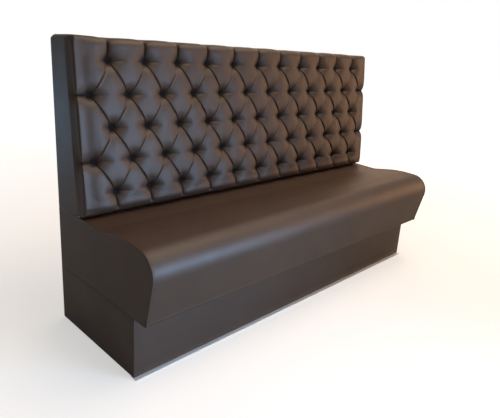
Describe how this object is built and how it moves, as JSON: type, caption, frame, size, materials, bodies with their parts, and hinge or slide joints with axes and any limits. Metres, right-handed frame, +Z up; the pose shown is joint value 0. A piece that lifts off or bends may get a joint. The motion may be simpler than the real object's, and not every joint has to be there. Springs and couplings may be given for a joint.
{
  "type": "restaurant banquette bench",
  "caption": "Upholstered restaurant bench with a deep-buttoned diamond back, waterfall seat and boxed plinth with a metal kick strip.",
  "frame": {"origin": "centre of the footprint, on the floor", "axes": "+Z up, +X along the bench, to the right of a person who faces it; -Y is the front that people sit at"},
  "size_m": [1.8, 0.624, 1.107],
  "materials": {
    "brown_leathercloth": "satin, fine grain",
    "birch_plywood": "raw birch plywood",
    "softwood": "planed softwood",
    "upholstery_foam": "open-cell foam",
    "black_dust_cloth": "non-woven cloth",
    "tufting_twine": "waxed twine",
    "aluminium_strip": "brushed",
    "zinc_steel": "zinc plated",
    "black_plastic": "moulded",
    "toggle_plastic": "moulded"
  },
  "bodies": {
    "root": {"back_board": "birch_plywood", "back_bottom_rail": "birch_plywood", "back_coach_screws": "zinc_steel", "back_cover": "brown_leathercloth", "back_dust_cloth": "black_dust_cloth", "back_foam": "upholstery_foam", "back_side_cover_left": "brown_leathercloth", "back_side_cover_right": "brown_leathercloth", "back_side_left": "birch_plywood", "back_side_right": "birch_plywood", "back_stile_1": "birch_plywood", "back_stile_2": "birch_plywood", "back_top_rail": "birch_plywood", "foot_blocks": "softwood", "joining_plate_screws": "zinc_steel", "joining_plates": "zinc_steel", "kick_strip": "aluminium_strip", "kick_strip_screws": "zinc_steel", "plinth_cover_front": "brown_leathercloth", "plinth_cover_left": "brown_leathercloth", "plinth_cover_right": "brown_leathercloth", "plinth_front_board": "birch_plywood", "plinth_rear_board": "birch_plywood", "plinth_rib_1": "birch_plywood", "plinth_rib_2": "birch_plywood", "plinth_rib_3": "birch_plywood", "plinth_side_left": "birch_plywood", "plinth_side_right": "birch_plywood", "seat_cover": "brown_leathercloth", "seat_deck": "birch_plywood", "seat_end_cover_left": "brown_leathercloth", "seat_end_cover_right": "brown_leathercloth", "seat_end_left": "birch_plywood", "seat_end_right": "birch_plywood", "seat_foam": "upholstery_foam", "seat_front_panel": "birch_plywood", "seat_nose_foam": "upholstery_foam", "seat_nose_rail": "birch_plywood", "seat_rear_rail": "birch_plywood", "seat_rib_1": "birch_plywood", "seat_rib_2": "birch_plywood", "seat_rib_3": "birch_plywood", "seat_riser": "birch_plywood", "seat_shelf": "birch_plywood", "tee_nuts": "zinc_steel", "tuft_buttons": "brown_leathercloth", "tuft_toggles": "toggle_plastic", "tuft_twines": "tufting_twine"},
    "pad_front_left": {"foot_pad_front_left": "black_plastic"},
    "stud_front_left": {"foot_stud_front_left": "zinc_steel"},
    "pad_front_right": {"foot_pad_front_right": "black_plastic"},
    "stud_front_right": {"foot_stud_front_right": "zinc_steel"},
    "pad_rear_left": {"foot_pad_rear_left": "black_plastic"},
    "stud_rear_left": {"foot_stud_rear_left": "zinc_steel"},
    "pad_rear_right": {"foot_pad_rear_right": "black_plastic"},
    "stud_rear_right": {"foot_stud_rear_right": "zinc_steel"}
  },
  "joints": [
    {"name": "level_front_left", "type": "slide", "parent": "root", "child": "pad_front_left", "axis": [0, 0, 1], "range_m": [-0.015, 0]},
    {"name": "turn_front_left", "type": "hinge", "parent": "pad_front_left", "child": "stud_front_left", "pos_m": [-0.8505, -0.1575, 0], "axis": [0, 0, 1], "range_deg": [-3600, 0]},
    {"name": "level_front_right", "type": "slide", "parent": "root", "child": "pad_front_right", "axis": [0, 0, 1], "range_m": [-0.015, 0]},
    {"name": "turn_front_right", "type": "hinge", "parent": "pad_front_right", "child": "stud_front_right", "pos_m": [0.8505, -0.1575, 0], "axis": [0, 0, 1], "range_deg": [-3600, 0]},
    {"name": "level_rear_left", "type": "slide", "parent": "root", "child": "pad_rear_left", "axis": [0, 0, 1], "range_m": [-0.015, 0]},
    {"name": "turn_rear_left", "type": "hinge", "parent": "pad_rear_left", "child": "stud_rear_left", "pos_m": [-0.8505, 0.264, 0], "axis": [0, 0, 1], "range_deg": [-3600, 0]},
    {"name": "level_rear_right", "type": "slide", "parent": "root", "child": "pad_rear_right", "axis": [0, 0, 1], "range_m": [-0.015, 0]},
    {"name": "turn_rear_right", "type": "hinge", "parent": "pad_rear_right", "child": "stud_rear_right", "pos_m": [0.8505, 0.264, 0], "axis": [0, 0, 1], "range_deg": [-3600, 0]}
  ],
  "couplings": [
    {"joint": "turn_front_left", "follows": "level_front_left", "rad_per_m": 4188.8},
    {"joint": "turn_front_right", "follows": "level_front_right", "rad_per_m": 4188.8},
    {"joint": "turn_rear_left", "follows": "level_rear_left", "rad_per_m": 4188.8},
    {"joint": "turn_rear_right", "follows": "level_rear_right", "rad_per_m": 4188.8}
  ]
}
